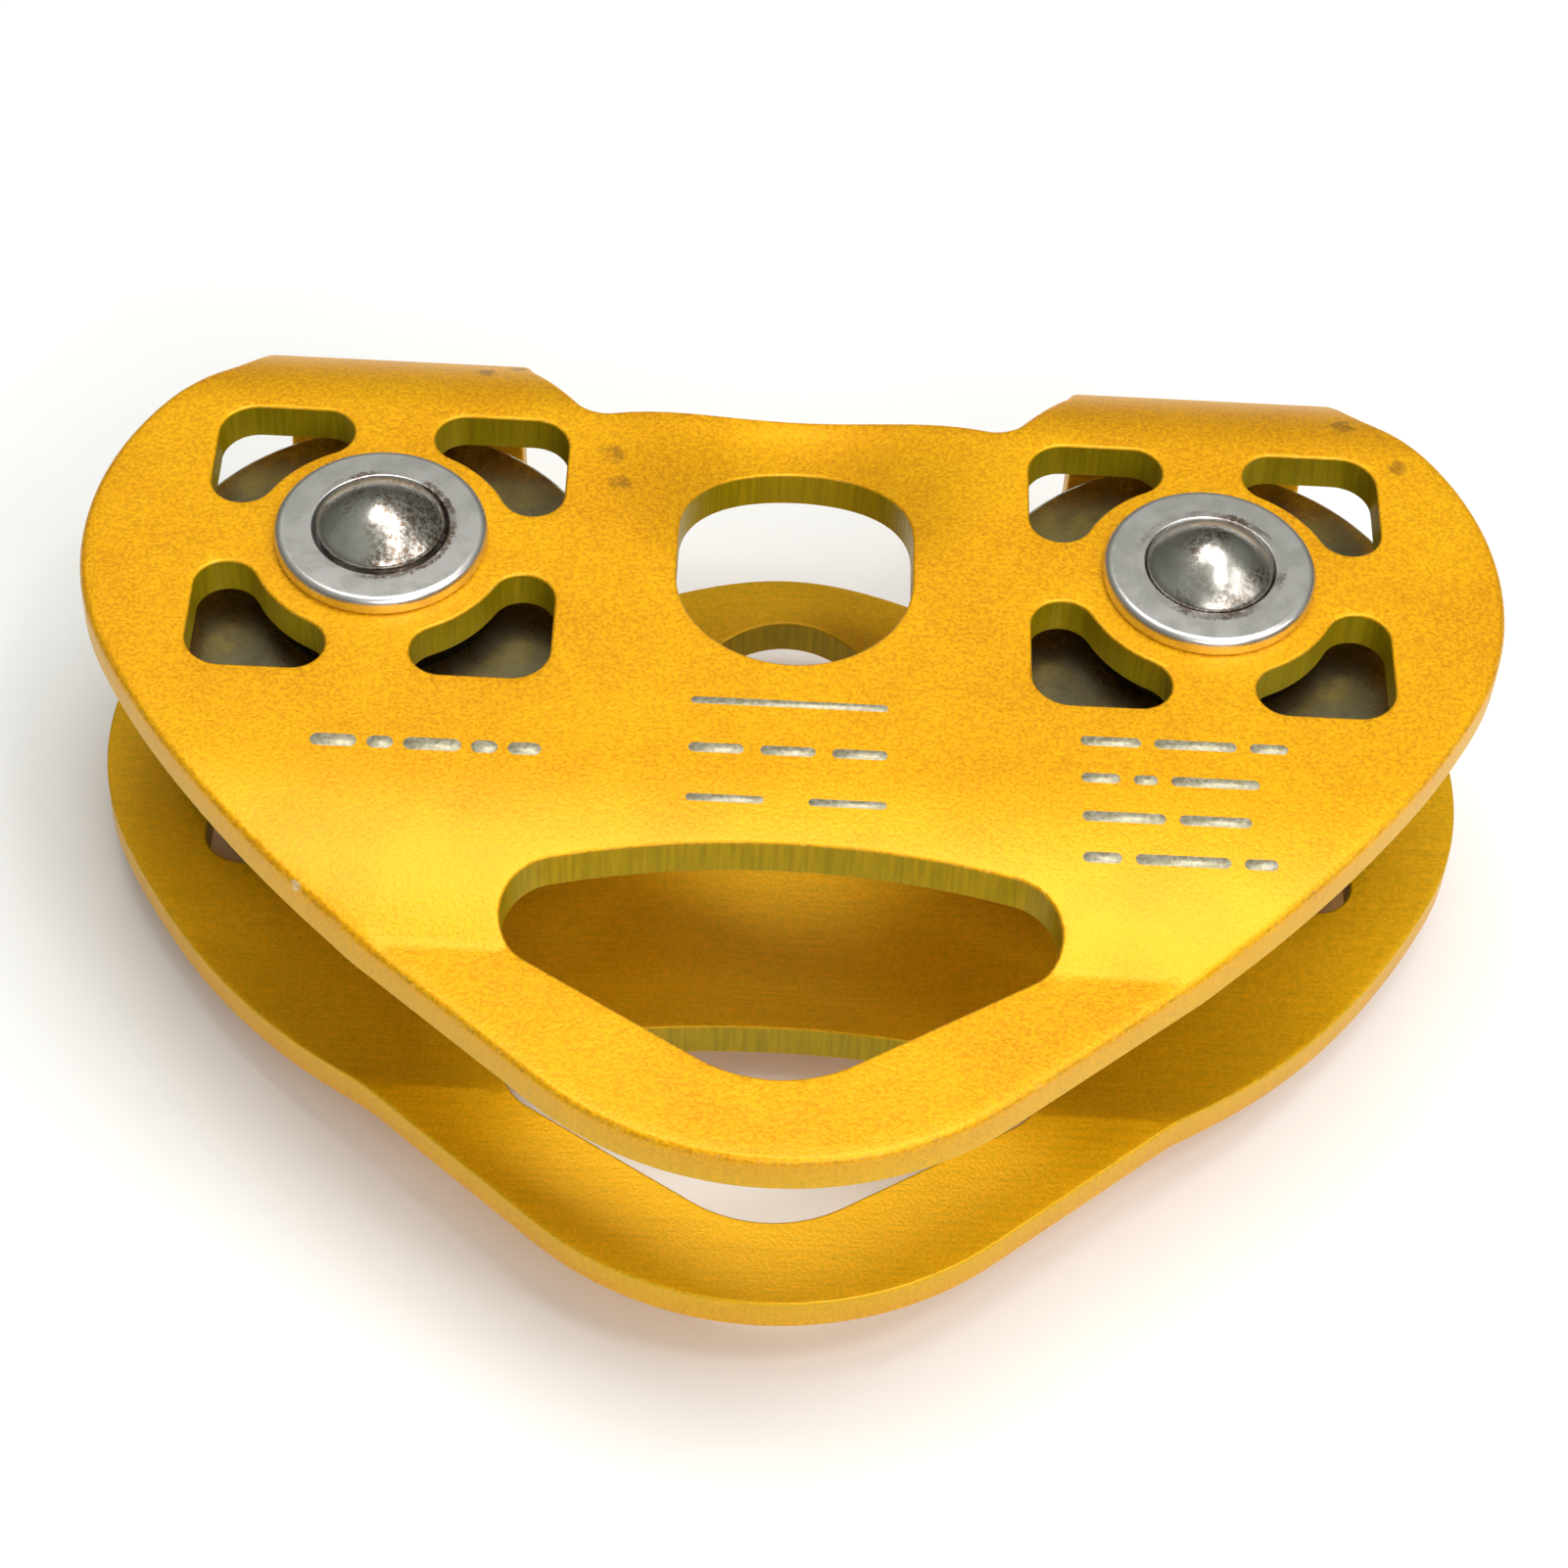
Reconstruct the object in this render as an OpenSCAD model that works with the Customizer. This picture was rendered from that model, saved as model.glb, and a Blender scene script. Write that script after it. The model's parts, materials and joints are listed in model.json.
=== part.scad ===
// Tandem rope pulley: two ball-bearing sheaves in line, riveted into one U-folded aluminium frame.
// The part lies on the rear rivet heads. +X runs from the left axle to the right axle, +Y from the
// carabiner eye to the fold, +Z out of the front cheek. The origin is under the middle of the part.

/* [Frame] */
// Distance between the two axles
axle_spacing = 78; // [77:0.5:79]
// Thickness of the folded sheet
sheet = 4; // [3.5:0.25:4.25]
// Gap between the cheeks beside the sheaves
cheek_gap = 24.5; // [24.25:0.25:25.5]
// Distance from the axle line up to where the cheeks start to fold over
fold_start = 17.6; // [17:0.1:18]
// Distance from the axle line down to the tip of the cheeks
tip_depth = 66.9; // [66:0.1:68]
// Width of each strap at the top of the fold
strap_w = 23.4; // [22:0.2:24]

/* [Lower cheeks] */
// Distance from the axle line down to where the cheeks start to close in
close_start = 26; // [25:0.5:28]
// Bending radius of the outer face where the cheeks close in
close_r = 57; // [50:1:60]
// Angle through which the cheeks close in, before they run parallel again
close_angle = 20; // [16:1:21]

/* [Dished middle] */
// Depth of the dish pressed into each cheek around the upper eye
dish_depth = 3.75; // [3:0.25:4]
// Radius of the dish
dish_r = 22; // [20:0.5:23]
// Height of the middle of the dish above the axle line
dish_y = 17; // [16:0.5:18]

/* [Openings] */
// Width of the upper eye
eye_w = 22.2; // [20:0.2:23]
// Lowest point of the upper eye, below the axle line
eye_bottom = 13.5; // [12:0.5:14]
// Highest point of the upper eye, above the axle line
eye_top = 14.6; // [13:0.2:15]
// Lowest point of the carabiner eye, below the axle line
carabiner_bottom = 58.2; // [57:0.2:59]
// Highest point of the carabiner eye, below the axle line
carabiner_top = 34.5; // [34:0.5:36]

/* [Sheaves] */
// Outer radius of the flanges
flange_r = 21.5; // [21:0.25:22]
// Width over the flanges
sheave_w = 19.5; // [19:0.25:20]
// Diameter of the largest rope
rope_d = 13; // [11:0.5:13]
// Radius at the bottom of the groove
groove_root_r = 13.8; // [13.5:0.1:14.5]

/* [Bearings] */
// Bore radius of each ball bearing
bearing_bore_r = 5; // [5:5]
// Outer radius of each ball bearing
bearing_r = 11; // [11:11]
// Width of each ball bearing
bearing_w = 6; // [6:0.25:6.5]
// Diameter of each ball
ball_d = 3.175; // [3.175:3.175]
// Number of balls in each bearing
ball_count = 10; // [8:1:11]

/* [Rivets and washers] */
// Radius of the outer washers
washer_r = 10; // [9:0.25:10.5]
// Thickness of the outer washers
washer_t = 1.8; // [1.5:0.1:2.5]
// Radius of the domed rivet heads
head_r = 6; // [6:0.1:6.5]
// Height of the domed rivet heads
head_h = 3.3; // [2.8:0.1:3.6]

/* [Hidden] */
$fn = 96;
SIDES = ["left", "right"];
FACES = ["front", "rear"];
AXLE_PARTS = ["sheave", "axle", "distance_sleeve"];
FACE_PARTS = ["outer_washer", "side_spacer", "retaining_ring", "bearing_outer_ring",
    "bearing_inner_ring", "bearing_balls", "bearing_cage", "bearing_shields"];

// Frame
axle_x = axle_spacing / 2;
inner_half = cheek_gap / 2;
outer_half = inner_half + sheet;
fold_top = fold_start + outer_half;
close_in = close_r * (1 - cos(close_angle));
close_end = close_start + close_r * sin(close_angle);
reach = 80;
overlap = 1;
rest_z = outer_half + washer_t + head_h;
middle_y = (fold_top - tip_depth) / 2;

// Cheek outline, on the flattened sheet
tip_r = 32;
tip_y = tip_r - tip_depth;
edge_angle = 40;
edge_normal = [sin(edge_angle), -cos(edge_angle)];
lobe_r = 31.4;
lobe = [axle_x - 3.4, -0.5];
lobe_low = -28;
lobe_high = 48;
lobe_normal = [cos(lobe_low), sin(lobe_low)];
flank_turn = lobe_normal * edge_normal;
flank_r = (tip_r - (lobe - [0, tip_y]) * edge_normal - lobe_r * flank_turn) / (1 - flank_turn);
flank = lobe + (lobe_r - flank_r) * lobe_normal;
shoulder_r = 10;
shoulder = lobe + (lobe_r + shoulder_r) * [cos(lobe_high), sin(lobe_high)];
strap_taper = 15;
strap_x = axle_x + 0.7;
bridge_r = 55;
bridge_top = 22.1;
bridge_y = bridge_top - bridge_r;
fillet_r = 3;
fillet_x = 19.3;
fillet_y = bridge_y + sqrt(pow(bridge_r + fillet_r, 2) - pow(fillet_x, 2));
fillet_angle = atan2(fillet_y - bridge_y, fillet_x);
neck_angle = -36;
neck_r = 5;
neck = [21.55, 28.34];
neck_end = -11;

// Eyes
eye_r = eye_w / 2;
corner_r = 5.3;
corner_x = 19.4;
eye_bottom_r = 12.8;
eye_top_r = 88;
corner_y = -carabiner_top - eye_top_r + sqrt(pow(eye_top_r - corner_r, 2) - pow(corner_x, 2));
corner_angle = acos(corner_x / (eye_top_r - corner_r));
corner_rise = corner_y + carabiner_bottom - eye_bottom_r;
eye_side_angle = atan2(corner_rise, corner_x)
    + asin((eye_bottom_r - corner_r) / norm([corner_x, corner_rise]));

// Windows around each washer
window_end = [6.6, 14.2];
window_end_r = 2.6;
window_corner = 13.5;
window_corner_r = 3.3;
window_inner_r = norm(window_end) - window_end_r;

// Sheaves and bearings
rope_clearance = 0.1;
groove_r = rope_d / 2 + rope_clearance;
groove_angle = 58;
rim_chamfer = 0.5;
bore_chamfer = 0.3;
running_gap = 0.03;
seat_gap = 0.01;
pitch_r = (bearing_bore_r + bearing_r) / 2;
ball_r = ball_d / 2;
race_r = ball_r * 1.04;
inner_land_r = 7.2;
outer_land_r = 8.8;
shield_seat_r = 9.6;
shield_t = 0.4;
shield_inset = 0.05;
shield_clearance = 0.15;
cage_r = [7.5, 8.5];
cage_w = 4.2;
ring_t = 1;
ring_groove_t = 1.1;
ring_groove_depth = 0.6;
ring_w = 1.5;
ring_lug_r = 1.5;
ring_lug_angle = 16;
ring_gap_angle = 20;
ring_hole_r = 0.6;
ring_depth = 0.4;
bearing_outer_z = sheave_w / 2 - ring_depth - ring_groove_t;
bearing_z = bearing_outer_z - bearing_w / 2;
bearing_inner_z = bearing_outer_z - bearing_w;
spacer_r = 6.75;
shoulder_bore_r = 9.5;
head_edge = 0.9;

gold = "#e6a50f";
steel = "#a9a9a6";
bright_steel = "#c9c9c6";
dark_steel = "#77756f";

// ---- outlines ----

// Points along an arc of radius r about c, from angle a to angle b, one every few degrees
function arc(c, r, a, b, step = 4) =
    let (n = max(1, ceil(abs(b - a) / step)))
    [for (i = [0:n]) c + r * [cos(a + (b - a) * i / n), sin(a + (b - a) * i / n)]];

// A half outline on the right, joined to its mirror image on the left
function both_halves(half) =
    concat(half, [for (i = [len(half) - 1:-1:0]) [-half[i].x, half[i].y]]);

// Height in the folded frame of a point at height s on the flattened sheet
function folded(s) =
    s < fold_start ? s : fold_start + outer_half * sin(min(90, (s - fold_start) / outer_half * 180 / PI));

function cheek_half() =
    let (
        strap = [strap_x - strap_w / 2, strap_x + strap_w / 2],
        above = fold_top + overlap,
        lower = concat(
            arc([0, tip_y], tip_r, -90, edge_angle - 90),
            arc(flank, flank_r, edge_angle - 90, lobe_low),
            arc(lobe, lobe_r, lobe_low, lobe_high),
            arc(shoulder, shoulder_r, lobe_high + 180, strap_taper + 180)
        ),
        upper = concat(
            arc(neck, neck_r, neck_end, neck_angle),
            arc([fillet_x, fillet_y], fillet_r, neck_angle, fillet_angle - 180),
            arc([0, bridge_y], bridge_r, fillet_angle, 90)
        )
    )
    concat(
        [for (p = lower) [p.x, folded(p.y)]],
        [[strap[1], fold_top], [strap[1], above], [strap[0], above], [strap[0], fold_top]],
        [for (p = upper) [p.x, min(p.y, folded(p.y) + overlap)]]
    );

module cheek_outline() {
    polygon(both_halves(cheek_half()));
}

module upper_eye() {
    translate([0, eye_r - eye_bottom]) circle(eye_r);
    translate([0, eye_top - eye_r]) circle(eye_r);
    translate([-eye_r, eye_r - eye_bottom]) square([eye_w, eye_top + eye_bottom - eye_w]);
}

module carabiner_eye() {
    polygon(both_halves(concat(
        arc([0, eye_bottom_r - carabiner_bottom], eye_bottom_r, -90, eye_side_angle - 90),
        arc([corner_x, corner_y], corner_r, eye_side_angle - 90, corner_angle),
        arc([0, -carabiner_top - eye_top_r], eye_top_r, corner_angle, 90)
    )));
}

// One lightening window beside an axle, in the quarter where x and y are positive
module window() {
    mirrored_end = [window_end.y, window_end.x];
    corner = [window_corner, window_corner];
    inset = 0.7;
    difference() {
        union() {
            translate(window_end) circle(window_end_r);
            translate(mirrored_end) circle(window_end_r);
            translate(corner) circle(window_corner_r);
            polygon([
                window_end, window_end + [0, window_end_r], corner + [0, window_corner_r],
                corner + [window_corner_r, 0], mirrored_end + [window_end_r, 0], mirrored_end,
                inset * mirrored_end, inset * window_end
            ]);
        }
        circle(window_inner_r);
    }
}

module holes() {
    upper_eye();
    carabiner_eye();
    for (x = [-axle_x, axle_x]) translate([x, 0]) {
        circle(bearing_bore_r + seat_gap);
        for (i = [0, 1], j = [0, 1]) mirror([i, 0]) mirror([0, j]) window();
    }
}

// ---- frame ----

// Half of the folded section up to one face of the sheet, as [y, z] points from the tip to the fold
function section_half(half, r) =
    let (step_in = half - close_in)
    concat(
        [[-reach, step_in]],
        [for (p = arc([-close_start, half - r], r, 90 + close_angle, 90, 2)) if (p.y > step_in) p],
        arc([fold_start, 0], half, 90, 0)
    );

module section_side(half, r) {
    upper = section_half(half, r);
    polygon(concat(upper, [for (i = [len(upper) - 2:-1:0]) [upper[i].x, -upper[i].y]]));
}

module channel() {
    rotate([90, 0, 90]) linear_extrude(2 * reach, center = true) difference() {
        section_side(outer_half, close_r);
        section_side(inner_half, close_r - sheet);
    }
}

// Depth of the dish at distance r from its middle
function dish(r) = dish_depth * (1 + cos(180 * r / dish_r)) / 2;

// A turned solid between the dished surface of a face at height z and the flat height top
module dish_solid(z, top) {
    rings = 12;
    rotate_extrude() polygon(concat(
        [[0, top]],
        [for (i = [0:rings]) let (r = dish_r * i / rings) [r, z - dish(r)]],
        [[dish_r, top]]
    ));
}

module frame() {
    color(gold) difference() {
        intersection() {
            union() {
                difference() {
                    channel();
                    for (m = [0, 1]) mirror([0, 0, m]) translate([0, dish_y, 0])
                        dish_solid(outer_half, outer_half + overlap);
                }
                for (m = [0, 1]) mirror([0, 0, m]) translate([0, dish_y, 0])
                    dish_solid(inner_half, inner_half + overlap / 4);
            }
            linear_extrude(2 * reach, center = true) cheek_outline();
        }
        linear_extrude(2 * reach, center = true) holes();
    }
}

// ---- one sheave and its axle, about the Z axis ----

// Keeps a turned piece upright on the front, and mirrors it onto the rear
module on_face(face) {
    mirror([0, 0, face == "rear" ? 1 : 0]) children();
}

module tube(r_out, r_in, z0, z1) {
    translate([0, 0, z0]) difference() {
        cylinder(h = z1 - z0, r = r_out);
        translate([0, 0, -overlap]) cylinder(h = z1 - z0 + 2 * overlap, r = r_in);
    }
}

function groove_half() =
    let (centre = groove_root_r + groove_r, rise = centre - groove_r * cos(groove_angle),
        half = groove_r * sin(groove_angle), flare = (flange_r - rise) / tan(groove_angle))
    concat([for (p = arc([0, 0], groove_r, 0, groove_angle)) [centre - p.x, p.y]],
        [[flange_r, half + flare]]);

module sheave() {
    half = sheave_w / 2;
    ring_z = bearing_outer_z;
    side = concat(
        groove_half(),
        [[flange_r, half - rim_chamfer], [flange_r - rim_chamfer, half],
        [bearing_r + bore_chamfer, half], [bearing_r, half - bore_chamfer],
        [bearing_r, ring_z + ring_groove_t],
        [bearing_r + ring_groove_depth, ring_z + ring_groove_t],
        [bearing_r + ring_groove_depth, ring_z], [bearing_r, ring_z],
        [bearing_r, bearing_inner_z], [shoulder_bore_r, bearing_inner_z]]
    );
    color(steel) rotate_extrude() polygon(concat(
        side, [for (i = [len(side) - 1:-1:1]) [side[i].x, -side[i].y]]
    ));
}

module axle() {
    color(bright_steel) {
        cylinder(h = 2 * (outer_half + washer_t) + overlap, r = bearing_bore_r, center = true);
        for (face = FACES) on_face(face) translate([0, 0, outer_half + washer_t]) rivet_head();
    }
}

// A low dome above a short straight edge
module rivet_head() {
    dome_h = head_h - head_edge;
    dome_r = (head_r * head_r + dome_h * dome_h) / (2 * dome_h);
    rotate_extrude() intersection() {
        translate([0, head_h - dome_r]) circle(dome_r);
        square([head_r, head_h]);
    }
}

module distance_sleeve() {
    color(dark_steel) tube(spacer_r, bearing_bore_r + seat_gap, -bearing_inner_z, bearing_inner_z);
}

module outer_washer() {
    color(steel) tube(washer_r, bearing_bore_r + seat_gap, outer_half, outer_half + washer_t);
}

module side_spacer() {
    color(bright_steel) tube(spacer_r, bearing_bore_r + seat_gap, bearing_outer_z, inner_half);
}

// An internal retaining ring, open on one side between two drilled lugs
module retaining_ring() {
    outer = bearing_r + ring_groove_depth - running_gap;
    inner = outer - ring_w;
    lug_mid = outer - ring_lug_r;
    gap_side = 2 * outer * [cos(ring_gap_angle / 2), sin(ring_gap_angle / 2)];
    color(dark_steel) translate([0, 0, bearing_outer_z + seat_gap]) linear_extrude(ring_t) difference() {
        union() {
            difference() {
                circle(outer);
                circle(inner);
            }
            for (a = [-ring_lug_angle, ring_lug_angle]) rotate(a) translate([lug_mid, 0]) circle(ring_lug_r);
        }
        polygon([[0, 0], [gap_side.x, -gap_side.y], gap_side]);
        for (a = [-ring_lug_angle, ring_lug_angle]) rotate(a) translate([lug_mid, 0]) circle(ring_hole_r);
    }
}

module bearing_outer_ring() {
    color(bright_steel) translate([0, 0, bearing_z]) rotate_extrude() difference() {
        translate([outer_land_r, -bearing_w / 2]) square([bearing_r - seat_gap - outer_land_r, bearing_w]);
        translate([pitch_r + running_gap, 0]) circle(race_r);
        for (m = [0, 1]) mirror([0, m]) translate([0, bearing_w / 2 - shield_t - shield_inset])
            square([shield_seat_r, bearing_w]);
    }
}

module bearing_inner_ring() {
    color(bright_steel) translate([0, 0, bearing_z]) rotate_extrude() difference() {
        translate([bearing_bore_r + seat_gap, -bearing_w / 2])
            square([inner_land_r - bearing_bore_r - seat_gap, bearing_w]);
        translate([pitch_r - running_gap, 0]) circle(race_r);
    }
}

module bearing_balls() {
    color(bright_steel) translate([0, 0, bearing_z])
        for (i = [0:ball_count - 1]) rotate(360 * i / ball_count) translate([pitch_r, 0, 0]) sphere(ball_r);
}

module bearing_cage() {
    color("#8f7a45") translate([0, 0, bearing_z]) difference() {
        tube(cage_r[1], cage_r[0], -cage_w / 2, cage_w / 2);
        for (i = [0:ball_count - 1]) rotate(360 * i / ball_count) translate([pitch_r, 0, 0])
            rotate([0, 90, 0])
                cylinder(h = 2 * (cage_r[1] - cage_r[0]), r = race_r + running_gap, center = true);
    }
}

module bearing_shields() {
    shield_r = [inner_land_r + shield_clearance, shield_seat_r - seat_gap];
    color(dark_steel) translate([0, 0, bearing_z]) for (m = [0, 1]) mirror([0, 0, m])
        tube(shield_r[1], shield_r[0], bearing_w / 2 - shield_t - shield_inset, bearing_w / 2 - shield_inset);
}

// ---- assembly ----

module place(x = 0) {
    translate([x, -middle_y, rest_z]) children();
}

place() frame();

for (side = SIDES) {
    x = side == "left" ? -axle_x : axle_x;
    place(x) sheave();
    place(x) axle();
    place(x) distance_sleeve();
    for (face = FACES) {
        at = str(side, "_", face, "_");
        place(x) on_face(face) outer_washer();
        place(x) on_face(face) side_spacer();
        place(x) on_face(face) retaining_ring();
        place(x) on_face(face) bearing_outer_ring();
        place(x) on_face(face) bearing_inner_ring();
        place(x) on_face(face) bearing_balls();
        place(x) on_face(face) bearing_cage();
        place(x) on_face(face) bearing_shields();
    }
}
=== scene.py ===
"""Looks of the tandem rope pulley: a detailed folded frame, turned wheels and rivets, and their materials.

Shapes are worked out in millimetres, with the axle line at y = 0 and the middle plane at z = 0.
"""
import json
import math

import bpy
import numpy as np
from mathutils import Euler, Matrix, Vector, geometry, kdtree


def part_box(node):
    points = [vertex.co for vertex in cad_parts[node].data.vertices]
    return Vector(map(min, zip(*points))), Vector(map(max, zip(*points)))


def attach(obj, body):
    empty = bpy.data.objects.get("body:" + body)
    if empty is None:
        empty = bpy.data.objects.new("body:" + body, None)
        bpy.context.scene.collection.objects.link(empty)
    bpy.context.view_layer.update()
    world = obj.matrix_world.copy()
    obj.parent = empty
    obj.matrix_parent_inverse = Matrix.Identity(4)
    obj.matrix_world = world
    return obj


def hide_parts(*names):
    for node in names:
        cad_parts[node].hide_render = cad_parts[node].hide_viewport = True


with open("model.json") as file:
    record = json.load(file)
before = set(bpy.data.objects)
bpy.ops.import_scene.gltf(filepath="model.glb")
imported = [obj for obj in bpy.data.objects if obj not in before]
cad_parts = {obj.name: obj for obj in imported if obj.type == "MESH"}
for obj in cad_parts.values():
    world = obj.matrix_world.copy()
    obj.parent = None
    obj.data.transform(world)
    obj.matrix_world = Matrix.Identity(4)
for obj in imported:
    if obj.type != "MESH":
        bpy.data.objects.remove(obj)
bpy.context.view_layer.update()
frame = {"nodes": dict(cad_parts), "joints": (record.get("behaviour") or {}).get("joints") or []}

MM = 0.001
SIDES = ("left", "right")
FACES = ("front", "rear")

# ---- dimensions taken from the CAD frame ----

joints = {joint["name"]: joint for joint in frame["joints"]}
left_pos = joints["left_sheave_spin"]["pos_m"]
right_pos = joints["right_sheave_spin"]["pos_m"]
axle_y = left_pos[1] / MM
middle_z = left_pos[2] / MM
axle_x = (right_pos[0] - left_pos[0]) / MM / 2


def node_box(node):
    """Lowest and highest corner of a CAD node, in millimetres from the axle line and the middle plane."""
    low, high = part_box(node)
    shift = Vector((0, axle_y, middle_z))
    return low / MM - shift, high / MM - shift


frame_low, frame_high = node_box("frame")
outer_half = round(frame_high.z, 2)
fold_top = round(frame_high.y, 2)
tip_depth = round(-frame_low.y, 2)
fold_start = fold_top - outer_half

washer_low, washer_high = node_box("right_front_outer_washer")
washer_r = round((washer_high.x - washer_low.x) / 2, 2)
washer_top = round(washer_high.z, 2)

axle_low, axle_high = node_box("right_axle")
head_r = round((axle_high.x - axle_low.x) / 2, 2)
head_top = round(axle_high.z, 2)

sheave_low, sheave_high = node_box("right_sheave")
flange_r = round((sheave_high.x - sheave_low.x) / 2, 2)
sheave_half = round(sheave_high.z, 2)

spacer_low, spacer_high = node_box("right_front_side_spacer")
spacer_r = round((spacer_high.x - spacer_low.x) / 2, 2)
spacer_bottom = round(spacer_low.z, 2)
spacer_top = round(spacer_high.z, 2)

# ---- shape of the frame, as in the CAD model ----

sheet = 4
close_start = 26
close_r = 57
close_depth = 3.44
bend_r = 4
close_angle = math.degrees(math.acos(1 - close_depth / (close_r + bend_r)))
dish_depth = 3.75
dish_r = 22
dish_y = 17

tip_r = 32
edge_angle = 40
lobe_r = 31.4
lobe = np.array([axle_x - 3.4, -0.5])
lobe_low = -28
lobe_high = 48
shoulder_r = 10
strap_taper = 15
neck = np.array([21.55, 28.34])
neck_r = 5
neck_end = -11
neck_angle = -36
fillet_r = 3
fillet_x = 19.3
bridge_r = 55
bridge_top = 22.1

eye_half = 11.1
eye_bottom = -13.5
eye_top = 14.6
carabiner_bottom = -58.2
carabiner_top = -34.5
carabiner_bottom_r = 12.8
carabiner_top_r = 88
corner_x = 19.4
corner_r = 5.3
bore_r = 5
bore_gap = 0.02
bearing_r = 11
bearing_w = 6

# The windows come 0.6 mm nearer to the washers than in the CAD model
window_end = np.array([6.9, 13.8])
window_end_r = 3
window_corner = 13.2
window_corner_r = 3.6

# Section of the sheaves' groove
groove_r = 6.6
groove_angle = 58
groove_root_r = 13.8

# Rounding of the sheet's edges, and the spacing of the points of its mesh
rim_bevel = 0.7
hole_bevel = 0.3
inner_bevel = 0.25
mesh_step = 1.3

# Places on the front, as x, distance along the sheet and radius: brown stains, and chips in the anodising
STAINS = (
    (-18, 13, 3.5), (-17, 9, 3), (-31, 25, 3), (-28, 27, 2.5), (-25, 25, 2), (-23, 30, 2.5),
    (-19, 33, 2.5), (53, 22, 3.5), (58, 16, 2.5),
)
CHIPS = ((38, -48.4, 1.8), (44, -42.2, 1.5), (-43, -41.2, 1.8), (-31, -52.4, 1.2))

# ---- helpers ----


def polar(radius, angle):
    return radius * np.array([math.cos(math.radians(angle)), math.sin(math.radians(angle))])


def arc(centre, radius, start, end, step=4.0):
    """Points along an arc, with angles in degrees."""
    count = max(1, math.ceil(abs(end - start) / step))
    return [np.array(centre) + polar(radius, start + (end - start) * i / count) for i in range(count + 1)]


def mirrored(points):
    return [np.array([-p[0], p[1]]) for p in reversed(points)]


def dense(points, step=mesh_step):
    """A closed outline with no side longer than step and no doubled points."""
    result = []
    for a, b in zip(points, points[1:] + points[:1]):
        length = np.linalg.norm(b - a)
        if length < 1e-4:
            continue
        count = max(1, math.ceil(length / step))
        result += [a + (b - a) * i / count for i in range(count)]
    return result


def row_point(x, y, z):
    """A point given in millimetres from the axle line and the middle plane, in the frame's own metres."""
    return Vector((x, y + axle_y, z + middle_z)) * MM


def new_object(name, vertices, faces, material, body):
    """A piece of the pulley, made from vertices in millimetres."""
    mesh = bpy.data.meshes.new(name)
    mesh.from_pydata([row_point(*v) for v in vertices], [], faces)
    mesh.validate()
    mesh.shade_smooth()
    mesh.materials.append(material)
    piece = bpy.data.objects.new(name, mesh)
    bpy.context.scene.collection.objects.link(piece)
    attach(piece, body)
    return piece


def sharpen(piece, angle=35):
    """Keeps edges sharper than the angle crisp, and weights the shading towards the large faces."""
    piece.data.set_sharp_from_angle(angle=math.radians(angle))
    weighted = piece.modifiers.new("weighted_normals", "WEIGHTED_NORMAL")
    weighted.keep_sharp = True


# ---- materials ----


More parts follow.
